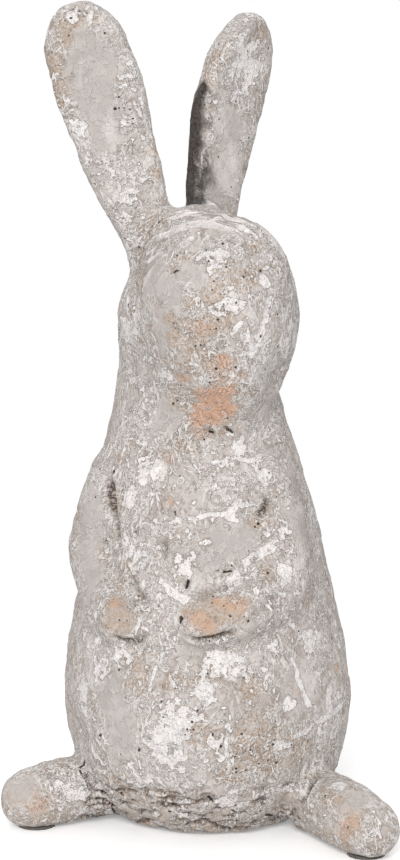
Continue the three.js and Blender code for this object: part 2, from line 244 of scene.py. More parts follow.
# Patches of the finish: a place by the photo's column and row, and in mm half its width and half its height,
# or the radius of a round one
SPOTS = {
    # Orange under the chin, painted lighter as painted light against the shade under the chin
    "orange": [(212, 399, 9.5, 8.5), (204, 417, 7, 6), (223, 361, 1.8, 4.2)],
    "terracotta": [
        (200, 432, 6, 4), (206, 328, 6, 5), (151, 329, 1.2, 2.8), (120, 457, 1.4, 2.6),
        (198, 622, 8.5, 5.5), (230, 604, 8, 4), (112, 604, 2.6, 5), (170, 503, 1.4, 1.8), (40, 805, 6, 4),
        (347, 826, 7, 6), (145, 821, 5, 1.6), (224, 366, 6), (336, 668, 2.2, 2), (243, 375, 4, 3),
        (182, 378, 5, 2.2),
    ],
    "tan": [
        (155, 223, 5, 7), (56, 76, 4.6, 15), (155, 173, 3, 3.6), (218, 62, 5), (257, 38, 3.4, 3.2),
        (76, 16, 7, 4), (62, 40, 4, 6), (208, 80, 2.6, 5), (236, 102, 4, 3.2), (141, 300, 2.4, 15),
        (254, 272, 3.4, 4.6), (211, 297, 6), (246, 392, 7, 6), (262, 742, 12, 11), (200, 732, 6, 7),
        (265, 573, 4.6, 3.8), (142, 605, 3, 6.6), (186, 445, 6, 4), (60, 770, 7, 3), (250, 690, 5),
        (120, 500, 3, 9), (330, 800, 6, 4), (172, 320, 5, 4), (190, 335, 9, 7), (222, 375, 10, 8),
        (180, 395, 8, 7), (215, 425, 9, 6), (205, 360, 8), (252, 246, 4, 3.4), (244, 280, 6),
        (228, 262, 4, 3), (215, 614, 13, 7), (118, 612, 7, 10), (250, 770, 20, 6), (295, 745, 8, 9),
        (160, 800, 12, 5), (258, 520, 4, 5), (128, 575, 4, 8),
    ],
    "wash": [
        (168, 742, 7, 11), (178, 716, 8, 5), (205, 693, 4.2, 3.4), (222, 662, 9.5, 4.2), (257, 668, 4, 3.2),
        (289, 704, 2.8, 1.9), (279, 746, 5, 2.2), (96, 634, 3.6, 3), (100, 671, 4.2, 3.2),
        (75, 792, 5.4, 3.8), (105, 788, 4.2, 3.4), (222, 802, 4.2, 2.4), (303, 787, 6, 2.2),
        (339, 787, 2.6, 3), (188, 563, 4.4, 5), (141, 559, 4.2, 4.6), (285, 575, 3.4, 4.6),
        (218, 260, 6.4, 4.2), (228, 308, 7.6, 3.2), (264, 282, 2, 2.6), (244, 42, 3.6, 4),
        (235, 74, 3.6, 5), (167, 375, 3, 3.2), (250, 60, 5, 9), (239, 94, 5), (79, 127, 3), (75, 12, 4, 3),
        (235, 398, 2.4, 2), (272, 640, 3, 4), (120, 650, 2, 4), (130, 197, 3, 4), (147, 478, 4),
        (130, 500, 3, 5), (240, 505, 4, 3), (160, 470, 3, 4), (238, 445, 3, 4), (262, 470, 3, 5),
        (310, 640, 3, 5), (330, 700, 3, 5), (85, 700, 2.5, 6), (205, 545, 3, 2),
    ],
    "veil": [
        (135, 105, 5, 12), (130, 180, 8, 11), (152, 195, 4, 8), (78, 16, 10, 6), (108, 26, 9, 6),
        (79, 132, 6, 7), (246, 65, 10, 16), (236, 100, 9, 8), (220, 125, 5, 9), (170, 740, 12, 15),
        # (228, 170) is also painted light, lightening the far ear's lower part where it turns from the light
        (228, 170, 9, 14), (222, 662, 13, 6), (225, 290, 14, 12), (145, 500, 5, 14), (235, 480, 12, 8),
        (180, 590, 12, 9), (300, 560, 6, 14), (130, 330, 4, 20), (285, 340, 5, 14), (310, 680, 8, 10),
        # (258, 425) is also painted light, lightening the shade under the chin
        (90, 660, 6, 12), (258, 425, 8, 12), (245, 250, 8, 6), (250, 46, 8),
    ],
    "bare": [
        (90, 540, 7, 17), (90, 90, 9, 18), (228, 170, 9, 16), (222, 545, 12, 8), (300, 690, 9, 12),
        (110, 700, 7, 8), (196, 275, 9, 7), (300, 530, 6, 14), (195, 655, 12, 5), (350, 800, 8, 6),
        (212, 618, 12, 6), (118, 615, 7, 9), (168, 415, 7, 9), (215, 195, 7, 12), (20, 790, 8, 6),
    ],
    # Pinholes, painted near black for the shade in them
    "pinhole": [
        (71, 18, 0.6), (117, 67, 0.6), (130, 109, 0.6), (133, 119, 0.6), (212, 67, 0.6), (257, 117, 0.6),
        (201, 345, 0.6), (260, 336, 0.6), (236, 303, 0.6), (236, 367, 0.6), (219, 320, 0.6),
        (206, 251, 0.6), (223, 244, 0.6), (129, 305, 0.6), (151, 504, 0.6), (255, 527, 0.6),
        (248, 621, 0.7), (101, 735, 0.8), (139, 750, 0.9), (221, 747, 0.6, 0.7), (213, 735, 0.6),
        (119, 670, 0.6), (246, 770, 0.6, 0.7), (236, 753, 0.6), (122, 793, 0.7), (165, 793, 0.6, 0.7),
        (170, 811, 0.8, 0.6), (236, 805, 0.8, 0.6), (260, 810, 0.7, 0.5),
    ],
}

# Middle of the head's face, by the photo's column and row
FACE_MIDDLE = (213, 305)

# Strokes of the finish: a path by the photo's columns and rows, and in mm half its width all along, or at
# its start and at its end
STROKES = {
    "wash": [
        ([(276, 543), (264, 552), (251, 560), (238, 574), (222, 592)], 2, 2.8),
        ([(170, 523), (182, 518), (196, 519), (210, 514), (226, 515), (238, 521)], 0.7, 1),
        ([(292, 737), (305, 731), (318, 722), (330, 716), (342, 705)], 1, 1.6),
        ([(232, 333), (241, 322), (252, 311)], 1, 0.8),
        ([(162, 236), (172, 229), (195, 227), (218, 218), (238, 219)], 1, 1.5),
        ([(131, 330), (128, 290), (133, 255)], 1.2, 1),
        ([(246, 360), (262, 332), (268, 300)], 1.8, 1.2),
        ([(262, 378), (280, 350), (292, 318)], 1.8, 1.2),
        ([(186, 600), (172, 592), (158, 577)], 1.8, 1.4),
        ([(292, 660), (303, 690), (311, 712), (316, 735)], 1, 1.4),
        ([(214, 462), (232, 458), (250, 461), (262, 455)], 1, 0.7),
        ([(150, 690), (156, 664), (168, 645)], 0.7, 0.9),
        ([(228, 772), (226, 742), (232, 715)], 0.8, 0.6),
    ],
    "veil": [
        ([(138, 80), (148, 140), (152, 190)], 4),
        ([(108, 125), (120, 160), (132, 205)], 4, 5),
        ([(172, 228), (200, 218), (235, 226), (268, 256)], 2.5),
        ([(258, 375), (284, 335), (292, 290)], 4, 3),
    ],
    "tan": [([(143, 246), (138, 272), (137, 305), (141, 338)], 3)],
    "bare": [
        ([(84, 48), (92, 88), (106, 135)], 10, 7),
        ([(232, 120), (226, 160), (222, 196)], 7, 8),
        ([(92, 500), (90, 540), (92, 590)], 6),
        ([(190, 560), (235, 545), (250, 530)], 8, 6),
        ([(110, 690), (120, 725), (125, 745)], 8, 6),
        ([(150, 270), (175, 300), (165, 330)], 6),
    ],
    # Painted shade down the side of the far ear, darkest at its root
    "dark": [
        ([(193, 205), (191, 197), (190, 188)], 4.4, 7),
        ([(190, 188), (190, 155), (193, 128), (197, 104), (202, 88)], 7, 2.4),
    ],
    # Slits, painted near black for the shade in them
    "pinhole": [
        ([(210, 433), (213, 434)], 0.6),
        ([(227, 430), (231, 431), (233, 433)], 0.5, 0.4),
        ([(188, 581), (186, 589)], 0.6, 0.5),
        ([(181, 617), (179, 624)], 0.6, 0.5),
        ([(224, 572), (232, 571)], 0.5, 0.4),
        ([(85, 761), (84, 765), (79, 769)], 0.5, 0.4),
        ([(80, 771), (81, 774), (85, 779), (87, 785), (90, 791)], 0.5, 0.3),
        ([(107, 798), (112, 805), (115, 813)], 0.5, 0.6),
        ([(209, 799), (213, 803)], 0.7, 0.6),
        ([(232, 809), (237, 812)], 0.7, 0.5),
        ([(266, 814), (273, 815)], 0.8, 0.5),
        ([(305, 794), (304, 799)], 0.7, 0.5),
    ],
}


class Value:
    """One output of a node. Sums with it add Math nodes."""

    def __init__(self, graph, socket):
        self.graph = graph
        self.socket = socket

    def __add__(self, other):
        return self.graph.math("ADD", self, other)

    def __radd__(self, other):
        return self.graph.math("ADD", other, self)

    def __sub__(self, other):
        return self.graph.math("SUBTRACT", self, other)

    def __rsub__(self, other):
        return self.graph.math("SUBTRACT", other, self)

    def __mul__(self, other):
        return self.graph.math("MULTIPLY", self, other)

    def __rmul__(self, other):
        return self.graph.math("MULTIPLY", other, self)

    def __truediv__(self, other):
        return self.graph.math("DIVIDE", self, other)

    def __pow__(self, other):
        return self.graph.math("POWER", self, other)

    def __abs__(self):
        return self.graph.math("ABSOLUTE", self)


class Graph:
    """Writes the nodes of one material or one geometry tree."""

    def __init__(self, tree):
        self.tree = tree

    def node(self, kind, settings=None, sockets=None):
        """Adds a node: its settings first, then its sockets' values or links, by name or by place."""
        made = self.tree.nodes.new(kind)
        for name, setting in (settings or {}).items():
            setattr(made, name, setting)
        ready = [socket for socket in made.inputs if socket.enabled]
        for key, value in (sockets or {}).items():
            socket = ready[key] if isinstance(key, int) else next(s for s in ready if s.name == key)
            if isinstance(value, Value):
                self.tree.links.new(value.socket, socket)
            else:
                socket.default_value = value
        return {s.name: Value(self, s) for s in reversed(made.outputs) if s.enabled}

    def math(self, operation, *values):
        return self.node("ShaderNodeMath", {"operation": operation}, dict(enumerate(values)))["Value"]

    def vector(self, operation, *values):
        made = self.node("ShaderNodeVectorMath", {"operation": operation}, dict(enumerate(values)))
        return next(iter(made.values()))

    def blend(self, below, above, share):
        """A colour or vector that goes from one to the other as share goes from 0 to 1."""
        sockets = {"Factor": share, "A": below, "B": above}
        return self.node("ShaderNodeMix", {"data_type": "RGBA"}, sockets)["Result"]

    def painted(self, ground, *coats):
        """A ground colour with coats over it in turn: the colour of each, and its share from 0 to 1."""
        colour = linear(ground)
        for coat, share in coats:
            colour = self.blend(colour, linear(coat), share)
        return colour

    def height(self, place):
        return self.node("ShaderNodeSeparateXYZ", None, {"Vector": place})["Z"]

    def rise(self, value, low, high):
        """Goes smoothly from 0 to 1 as a value goes from low to high."""
        sockets = {"Value": value, "From Min": low, "From Max": high}
        return self.node("ShaderNodeMapRange", {"interpolation_type": "SMOOTHSTEP"}, sockets)["Result"]

    def noise(self, place, size, detail=0, roughness=0.5, seed=0, stretch=(1, 1, 1), output="Fac"):
        """Smooth noise from 0 to 1. A wave of it is about size long, and longer along a stretched axis."""
        rate = [1 / (size * along) for along in stretch]
        moved = self.vector("MULTIPLY_ADD", place, rate, (7.1 * seed, 3.3 * seed, 5.7 * seed))
        sockets = {"Vector": moved, "Scale": 1.0, "Detail": detail, "Roughness": roughness}
        return self.node("ShaderNodeTexNoise", None, sockets)[output]


def linear(colour):
    """A colour read as 0 to 255, as the shader wants it."""
    shares = [level / 255 for level in colour]
    bent = [share / 12.92 if share <= 0.04045 else ((share + 0.055) / 1.055) ** 2.4 for share in shares]
    return (*bent, 1.0)


def object_from(mesh, name):
    piece = bpy.data.objects.new(name, mesh)
    bpy.context.scene.collection.objects.link(piece)
    return piece


def work_in(piece):
    """Works an object's modifiers into its mesh."""
    ready = piece.evaluated_get(bpy.context.evaluated_depsgraph_get())
    piece.data = bpy.data.meshes.new_from_object(ready)
    piece.modifiers.clear()


def swollen_castings(grow):
    """The CAD castings and plate, made larger all round: points, faces, and which solid each face is of."""
    points, faces, owners = [], [], []
    for place, node in enumerate(CASTINGS + [PLATE]):
        edit = bmesh.new()
        edit.from_mesh(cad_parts[node].data)
        bmesh.ops.remove_doubles(edit, verts=edit.verts, dist=WELD)
        edit.normal_update()
        faces += [[vertex.index + len(points) for vertex in face.verts] for face in edit.faces]
        owners += [place] * len(edit.faces)
        points += [vertex.co + grow * vertex.normal for vertex in edit.verts]
        edit.free()
    return points, faces, owners


def rows_of(items, name, width, kind=float):
    """What the vertices, edges or normals of a mesh hold under a name, one row each."""
    values = np.empty(len(items) * width, dtype=kind)
    items.foreach_get(name, values)
    return values.reshape(-1, width)


def set_points(mesh, points):
    mesh.vertices.foreach_set("co", np.asarray(points, dtype=np.float32).ravel())
    mesh.update()


def middles(points, edges):
    """Each point's neighbours, averaged."""
    first, second = edges.T
    size = len(points)
    counts = np.bincount(edges.ravel(), minlength=size)
    sums = [
        np.bincount(first, points[second, axis], size) + np.bincount(second, points[first, axis], size)
        for axis in range(3)
    ]
    return np.stack(sums, axis=1) / np.maximum(counts, 1)[:, None]


def smoothed(points, edges, rounds, pulls, weight=1):
    """Moves points by each pull in turn: towards their neighbours' middle, or away if it is below 0."""
    for _ in range(rounds):
        for pull in pulls:
            points = points + pull * weight * (middles(points, edges) - points)
    return points


def reached(start, beside):
    """All that hangs together with a vertex or face, by a rule for what counts as beside one."""
    found = [start]
    seen = {start}
    for item in found:
        for other in beside(item):
            if other not in seen:
                seen.add(other)
                found.append(other)
    return found


def outside_only(mesh):
    """Keeps what hangs together with the topmost point, without the hollow inside."""
    edit = bmesh.new()
    edit.from_mesh(mesh)
    edit.verts.ensure_lookup_table()
    top = max(edit.verts, key=lambda vertex: vertex.co.z)
    kept = set(reached(top, lambda vertex: [edge.other_vert(vertex) for edge in vertex.link_edges]))
    bmesh.ops.delete(edit, geom=[v for v in edit.verts if v not in kept], context="VERTS")
    edit.to_mesh(mesh)
    edit.free()


def joined_skin():
    """One closed skin over all the castings, as they look from outside."""
    points, faces, _ = swollen_castings(SWELL)
    mesh = bpy.data.meshes.new("skin")
    mesh.from_pydata(points, [], faces)
    skin = object_from(mesh, "skin")
    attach(skin, "root")
    remesh = skin.modifiers.new("cells", "REMESH")
    remesh.mode = "VOXEL"
    remesh.voxel_size = CELL
    work_in(skin)
    outside_only(skin.data)
    return skin


trunk_low, trunk_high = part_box(PLATE)
trunk = (trunk_low + trunk_high) / 2
trunk.z = 0


def set_camera():
    """Stands the camera where the photo was taken from, and aims it as the photo is framed."""
    sideways = Vector((math.cos(CAMERA_TURN), math.sin(CAMERA_TURN), 0))
    away = Vector((math.sin(CAMERA_TURN) * CAMERA_AWAY, -math.cos(CAMERA_TURN) * CAMERA_AWAY, CAMERA_RISE))
    aim = Vector((0, 0, AIM_HEIGHT))
    pan = sideways * ((PHOTO_WIDTH / 2 - AIM_COLUMN) / FOCAL_PIXELS * (away - aim).length)
    lens = bpy.data.cameras.new("camera")
    lens.sensor_fit = "VERTICAL"
    lens.sensor_height = SENSOR_HEIGHT
    lens.lens = SENSOR_HEIGHT * FOCAL_PIXELS / PHOTO_HEIGHT
    lens.clip_start = 0.05
    lens.clip_end = 20
    camera = object_from(lens, "camera")
    camera.location = trunk + away + pan
    camera.rotation_mode = "QUATERNION"
    camera.rotation_quaternion = (aim - away).to_track_quat("-Z", "Y")
    bpy.context.scene.camera = camera
    bpy.context.view_layer.update()
    return camera


camera = set_camera()


def surface_of(mesh):
    """A mesh as something that rays can meet."""
    points = [vertex.co for vertex in mesh.vertices]
    return BVHTree.FromPolygons(points, [tuple(face.vertices) for face in mesh.polygons])


def seen_at(surface, column, row):
    """The point of a surface that the photo shows at a column and row, and its normal, or None beside it."""
    ray = Vector((column - PHOTO_WIDTH / 2, PHOTO_HEIGHT / 2 - row, -FOCAL_PIXELS))
    way = camera.matrix_world.to_3x3() @ ray.normalized()
    return surface.ray_cast(camera.location, way)[:2]


def traced(surface, stops):
    """A path on a surface through places of the photo, with a point at each pixel or so."""
    path = []
    for (column, row), (next_column, next_row) in zip(stops, stops[1:]):
        steps = math.ceil(math.hypot(next_column - column, next_row - row))
        for step in range(steps):
            share = step / steps
            across = column + share * (next_column - column)
            down = row + share * (next_row - row)
            point = seen_at(surface, across, down)[0]
            if point:
                path.append(point)
    return np.array(path)


def round_path(points, path, reach):
    """Which points lie in the box round a path, grown by a reach."""
    low, high = path.min(0) - reach, path.max(0) + reach
    return np.flatnonzero(((points > low) & (points < high)).all(axis=1))


def nearness(points, path, reach, end=0):
    """How near each point is to a path, from 1 on it to 0 at its reach. It fades over a share at each end."""
    near = round_path(points, path, reach)
    best = np.zeros(len(near))
    for step, stop in enumerate(path):
        along = (step + 0.5) / len(path)
        strength = min(1, along / end, (1 - along) / end) if end else 1
        gaps = np.linalg.norm(points[near] - stop, axis=1)
        best = np.maximum(best, strength * (1 - (gaps / reach) ** 2))
    share = np.zeros(len(points))
    share[near] = best
    return share


def push(points, surface):
    """Pushes points about, most at each place pushed and less towards the end of its reach."""
    right, up, _ = camera.matrix_world.to_3x3().col
    moved = points.copy()
    for column, row, rightward, upward, reach in PUSHED.values():
        middle = seen_at(surface, column, row)[0]
        share = np.clip(1 - (np.linalg.norm(points - middle, axis=1) / (reach * MM)) ** 2, 0, 1) ** 2
        moved += share[:, None] * np.array(rightward * MM * right + upward * MM * up)
    return moved


def smooth_skin(mesh):
    """Rubs the facets off the skin, fills its joints and takes back what it was swollen by."""
    edges = rows_of(mesh.edges, "vertices", 2, np.int64)
    points = rows_of(mesh.vertices, "co", 3)
    points = smoothed(points, edges, SMOOTHING_ROUNDS, (PULL_IN, PUSH_OUT))
    set_points(mesh, points)
    points = push(points, surface_of(mesh))
    set_points(mesh, points)
    surface = surface_of(mesh)
    for stops, reach, rounds in FILLED.values():
        weight = nearness(points, traced(surface, stops), reach * MM)
        touched = (weight[edges] > 0).any(axis=1)
        points = smoothed(points, edges[touched], rounds, (PULL_IN,), weight[:, None])
    set_points(mesh, points)
    points = points - SWELL * rows_of(mesh.vertex_normals, "vector", 3)
    points[:, 2] = np.maximum(points[:, 2], SOLE_LEVEL)
    set_points(mesh, points)


def write_marks(mesh):
    """Writes at each point how deep it lies in a crease, and in each kind of mark."""
    points = rows_of(mesh.vertices, "co", 3)
    surface = surface_of(mesh)
    crease = np.zeros(len(points))
    for stops, depth, half_width in CREASES.values():
        near = nearness(points, traced(surface, stops), half_width * MM, end=CREASE_END)
        crease = np.maximum(crease, depth * MM * near ** 2)
    marks = {"crease": crease}
    for name in sorted({*SPOTS, *STROKES}):
        least = np.full(len(points), FAR)
        for column, row, *sizes in SPOTS.get(name, []):
            centre = seen_at(surface, column, row)[0]
            if centre:
                reach = np.array((sizes[0], sizes[0], sizes[-1])) * MM
                least = np.minimum(least, np.linalg.norm((points - centre) / reach, axis=1))
        for stops, *widths in STROKES.get(name, []):
            path = traced(surface, stops)
            near = round_path(points, path, 2 * max(widths) * MM)
            for step, stop in enumerate(path):
                half_width = widths[0] + step / len(path) * (widths[-1] - widths[0])
                gaps = np.linalg.norm(points[near] - stop, axis=1) / (half_width * MM)
                least[near] = np.minimum(least[near], gaps)
        marks[name] = 1 - least
    for name, values in marks.items():
        mesh.attributes.new(name, "FLOAT", "POINT").data.foreach_set("value", values)


def divide_skin(skin):
    """Halves the skin's cells and marks the finer points."""
    finer = skin.modifiers.new("finer", "SUBSURF")
    finer.levels = finer.render_levels = 1
    work_in(skin)
    write_marks(skin.data)


def swing(graph, place, size, **how):
    """Noise that swings from -1 to 1."""
    return 2 * graph.noise(place, size, **how) - 1


def film_field(graph, place, name):
    """The noise whose level lines are the edges of a film of paint."""
    size, detail, seed = FILMS[name]
    return graph.noise(place, size, detail=detail, roughness=0.6, seed=seed)


def skirt_crevices(graph, place):
    """1 in the broken level crevices of the skirt, just above the table, and 0 elsewhere."""
    sideways = graph.vector("MULTIPLY", graph.vector("SUBTRACT", place, trunk / MM), (1, 1, 0))
    out = graph.vector("LENGTH", sideways)
    low = 1 - graph.rise(graph.height(place), *SKIRT_HEIGHTS)
    split = graph.noise(place, 7.5, detail=4, roughness=0.66, seed=5, stretch=(1, 1, 0.34))
    crevice = graph.rise(split, 0.53, 0.59)
    return crevice * low * (1 - graph.rise(out, *SKIRT_DISTANCES))


def relief_tree():
    """Raises the cast surface: lumps, dents, worm marks, flakes, creases and the skirt's crevices."""
    tree = bpy.data.node_groups.new("cast_relief", "GeometryNodeTree")
    tree.is_modifier = True
    tree.interface.new_socket("Geometry", in_out="INPUT", socket_type="NodeSocketGeometry")
    for name in RELIEF:
        tree.interface.new_socket(name, in_out="INPUT", socket_type="NodeSocketFloat")
    tree.interface.new_socket("Finish", in_out="INPUT", socket_type="NodeSocketMaterial")
    tree.interface.new_socket("Geometry", in_out="OUTPUT", socket_type="NodeSocketGeometry")
    graph = Graph(tree)
    given = graph.node("NodeGroupInput")
    here = graph.node("GeometryNodeInputPosition")["Position"]
    place = graph.vector("MULTIPLY", here, (1000, 1000, 1000))
    held = graph.node("GeometryNodeInputNamedAttribute", {"data_type": "FLOAT"}, {"Name": "crease"})
    crease = held["Attribute"]
    worm = abs(swing(graph, place, 3.6, seed=3))
    flake = graph.rise(film_field(graph, place, "broad"), 0.49, 0.52)
    height = (
        given["Lumps"] * swing(graph, place, 19, detail=1, seed=1)
        + given["Dents"] * swing(graph, place, 7, detail=1, seed=2)
        + given["Worms"] * (0.5 - worm)
        + given["Flakes"] * flake
        - given["Skirt crevices"] * skirt_crevices(graph, place)
        - given["Creases"] * crease * (0.6 + 0.7 * graph.noise(place, 3, detail=2, seed=6))
    )
    normal = graph.node("GeometryNodeInputNormal")["Normal"]
    raised = graph.vector("ADD", here, graph.vector("SCALE", normal, height))
    rested = graph.vector("MAXIMUM", raised, (-1000, -1000, SOLE_LEVEL))
    shape = given["Geometry"]
    for kind, settings, sockets in (
        ("StoreNamedAttribute", {"data_type": "FLOAT_VECTOR"}, {"Name": "cast_place", "Value": place}),
        ("SetPosition", None, {"Position": rested}),
        ("SetShadeSmooth", None, {}),
        ("RealizeInstances", None, {}),
        ("SetMaterial", None, {"Material": given["Finish"]}),
    ):
        shape = graph.node("GeometryNode" + kind, settings, {"Geometry": shape, **sockets})["Geometry"]
    graph.node("NodeGroupOutput", None, {"Geometry": shape})
    return tree


def raise_relief(skin, finish):
    """Works the relief into the skin's mesh."""
    tree = relief_tree()
    relief = skin.modifiers.new("relief", "NODES")
    relief.node_group = tree
    values = {**RELIEF, "Finish": finish}
    for socket in tree.interface.items_tree:
        if socket.in_out == "INPUT" and socket.name in values:
            relief[socket.identifier] = values[socket.name]
    work_in(skin)


def owners_of(mesh):
    """The casting that each face of the skin belongs to, as a place in the list of nodes."""
    points, faces, owners = swollen_castings(0)
    solids = BVHTree.FromPolygons(points, faces)
    return [owners[solids.find_nearest(face.center)[2]] for face in mesh.polygons]


def round_face(face):
    """The faces across a face's edges."""
    return [other for edge in face.edges for other in edge.link_faces if other is not face]


def one_patch_each(edit, owners):
    """Gives stray faces to the casting round them, so that each casting is one patch."""
    groups = []
    group_of = {}
    for start in edit.faces:
        if start not in group_of:
            owner = owners[start.index]
            group = reached(start, lambda face: [o for o in round_face(face) if owners[o.index] == owner])
            group_of.update(dict.fromkeys(group, len(groups)))
            groups.append(group)
    largest = {}
    for group in groups:
        owner = owners[group[0].index]
        if len(group) > len(largest.get(owner, [])):
            largest[owner] = group
    for place, group in sorted(enumerate(groups), key=lambda item: len(item[1])):
        if group is not largest[owners[group[0].index]]:
            outer = [owners[o.index] for face in group for o in round_face(face) if group_of[o] != place]
            for face in group:
                owners[face.index] = max(set(outer), key=outer.count)


def even_owners(edit, owners):
    """Straightens the lines between the castings: a face with most neighbours of another joins them."""
    for _ in range(STRAIGHTENING_ROUNDS):
        changes = {}
        for face in edit.faces:
            outer = [owners[other.index] for other in round_face(face)]
            for owner in set(outer):
                if owner != owners[face.index] and outer.count(owner) > len(outer) / 2:
                    changes[face.index] = owner
        for index, owner in changes.items():
            owners[index] = owner


def part_castings(skin, finish):
    """Parts the skin into one closed piece for each casting. The plate's patch stays with the plate."""
    mesh = skin.data
    owners = owners_of(mesh)
    whole = bmesh.new()
    whole.from_mesh(mesh)
    whole.faces.ensure_lookup_table()
    even_owners(whole, owners)
    one_patch_each(whole, owners)
    whole.free()
    normals = rows_of(mesh.vertex_normals, "vector", 3)
    for place, node in enumerate(CASTINGS):
        edit = bmesh.new()
        edit.from_mesh(mesh)
        home = edit.verts.layers.int.new("home")
        for vertex in edit.verts:
            vertex[home] = vertex.index
        others = [face for face in edit.faces if owners[face.index] != place]
        bmesh.ops.delete(edit, geom=others, context="FACES")
        rims = [edge for edge in edit.edges if edge.is_boundary]
        walls = bmesh.ops.extrude_edge_only(edit, edges=rims)["geom"]
        for vertex in walls:
            if isinstance(vertex, bmesh.types.BMVert):
                vertex.co -= JOINT_DEPTH * Vector(normals[vertex[home]])
        inner = [edge for edge in walls if isinstance(edge, bmesh.types.BMEdge) and edge.is_boundary]
        ends = bmesh.ops.holes_fill(edit, edges=inner, sides=0)["faces"]
        bmesh.ops.triangulate(edit, faces=ends, ngon_method="EAR_CLIP")
        name = node + "_casting"
        data = bpy.data.meshes.new(name)
        edit.to_mesh(data)
        homes = [vertex[home] for vertex in edit.verts]
        edit.free()
        data.materials.append(finish)
        data.normals_split_custom_set_from_vertices([tuple(normals[index]) for index in homes])
        piece = object_from(data, name)
        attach(piece, "root")
        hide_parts(node)
    bpy.data.objects.remove(skin)


def empty_graph(owner):
    """The graph of a material or a world, without the nodes that it comes with."""
    owner.use_nodes = True
    owner.node_tree.nodes.clear()
    return Graph(owner.node_tree)


def new_finish(name):
    """A material and its graph."""
    material = bpy.data.materials.new(name)
    return material, empty_graph(material)


def shaken(graph, place, size, reach, seed):
    """A place moved about by noise, so that what is drawn there has a ragged edge."""
    push = graph.noise(place, size, detail=1, seed=seed, output="Color")
    moved = graph.vector("MULTIPLY_ADD", push, (2 * reach,) * 3, place)
    return graph.vector("SUBTRACT", moved, (reach,) * 3)


def drops(graph, place, kind):
    """How far inside a drop of some kind each place lies, in mm. Long ones have a direction of their own."""
    spacing, share, least, most, seed, long = DROPS[kind]
    rate = (1 / spacing,) * 3
    moved = graph.vector("MULTIPLY_ADD", place, rate, (4.7 * seed, 2.9 * seed, 6.1 * seed))
    cell = graph.node("ShaderNodeTexVoronoi", None, {"Vector": moved, "Scale": 1.0})
    offset = graph.vector("SUBTRACT", moved, cell["Position"])
    gap = graph.vector("LENGTH", offset) * spacing
    if long:
        way = graph.vector("NORMALIZE", graph.vector("SUBTRACT", cell["Color"], (0.5, 0.5, 0.5)))
        along = graph.vector("DOT_PRODUCT", offset, way)
        gap = graph.math("SQRT", gap ** 2 - (long * spacing ** 2) * along * along)
    luck = graph.node("ShaderNodeSeparateColor", None, {"Color": cell["Color"]})
    chosen = graph.math("LESS_THAN", luck["Red"], share)
    return (least + (most - least) * luck["Green"] + FAR) * chosen - FAR - gap


def line_of(value, level, half_width):
    """1 where a value crosses a level, and 0 away from it."""
    return 1 - value.graph.rise(abs(value - level), half_width * 0.5, half_width * 1.3)


def film(value, level, soft):
    """A film of paint where a value is above a level: its inside, its rim and the shade outside it."""
    rise = value.graph.rise
    inside = rise(value, level, level + soft)
    rim = inside * (1 - rise(value, level + 1.5 * soft, level + 4 * soft))
    shade = rise(value, level - 3 * soft, level - soft) * (1 - inside)
    return inside, rim, shade


def most_of(top, *masks):
    """The largest of some masks."""
    for mask in masks:
        top = top.graph.math("MAXIMUM", top, mask)
    return top


def mark(graph, name):
    """What the skin's points hold under a name."""
    return graph.node("ShaderNodeAttribute", {"attribute_name": name})["Fac"]


def ragged(graph, name, torn, flecks):
    """Where a kind of placed mark shows, with its edges shifted by noise."""
    torn_share, fleck_share, low, high = RAGGED[name]
    return graph.rise(mark(graph, name) + torn_share * torn + fleck_share * flecks, low, high)


def brush_arcs(graph, place, face_middle, face_way):
    """Brush marks that run round the head's face, out towards its edge."""
    gap = graph.vector("SUBTRACT", shaken(graph, place, 9, 1.2, seed=36), face_middle / MM)
    out = graph.vector("LENGTH", graph.vector("CROSS_PRODUCT", gap, face_way))
    band = graph.rise(out, *ARCS_FROM) * (1 - graph.rise(out, *ARCS_TO))
    where = band * graph.rise(graph.height(gap), *ARCS_ABOVE)
    along = graph.vector("MULTIPLY", gap, (1 / ARC_LENGTH,) * 3)
    across = graph.node("ShaderNodeCombineXYZ", None, {"X": out / ARC_SPACING})["Vector"]
    hairs = graph.noise(graph.vector("ADD", along, across), 1, detail=2, roughness=0.6, seed=35)
    return film(hairs, 0.54, 0.035), where


def close_finish(material, graph, colour, roughness, specular, height, depth, more=None):
    """Ends a finish: its shader, with bumps of some depth, and its output."""
    bump = graph.node("ShaderNodeBump", None, {"Distance": depth, "Height": height})["Normal"]
    sockets = {"Base Color": colour, "Roughness": roughness, "Specular IOR Level": specular, "Normal": bump}
    shader = graph.node("ShaderNodeBsdfPrincipled", None, {**sockets, **(more or {})})
    graph.node("ShaderNodeOutputMaterial", None, {"Surface": shader["BSDF"]})
    return material


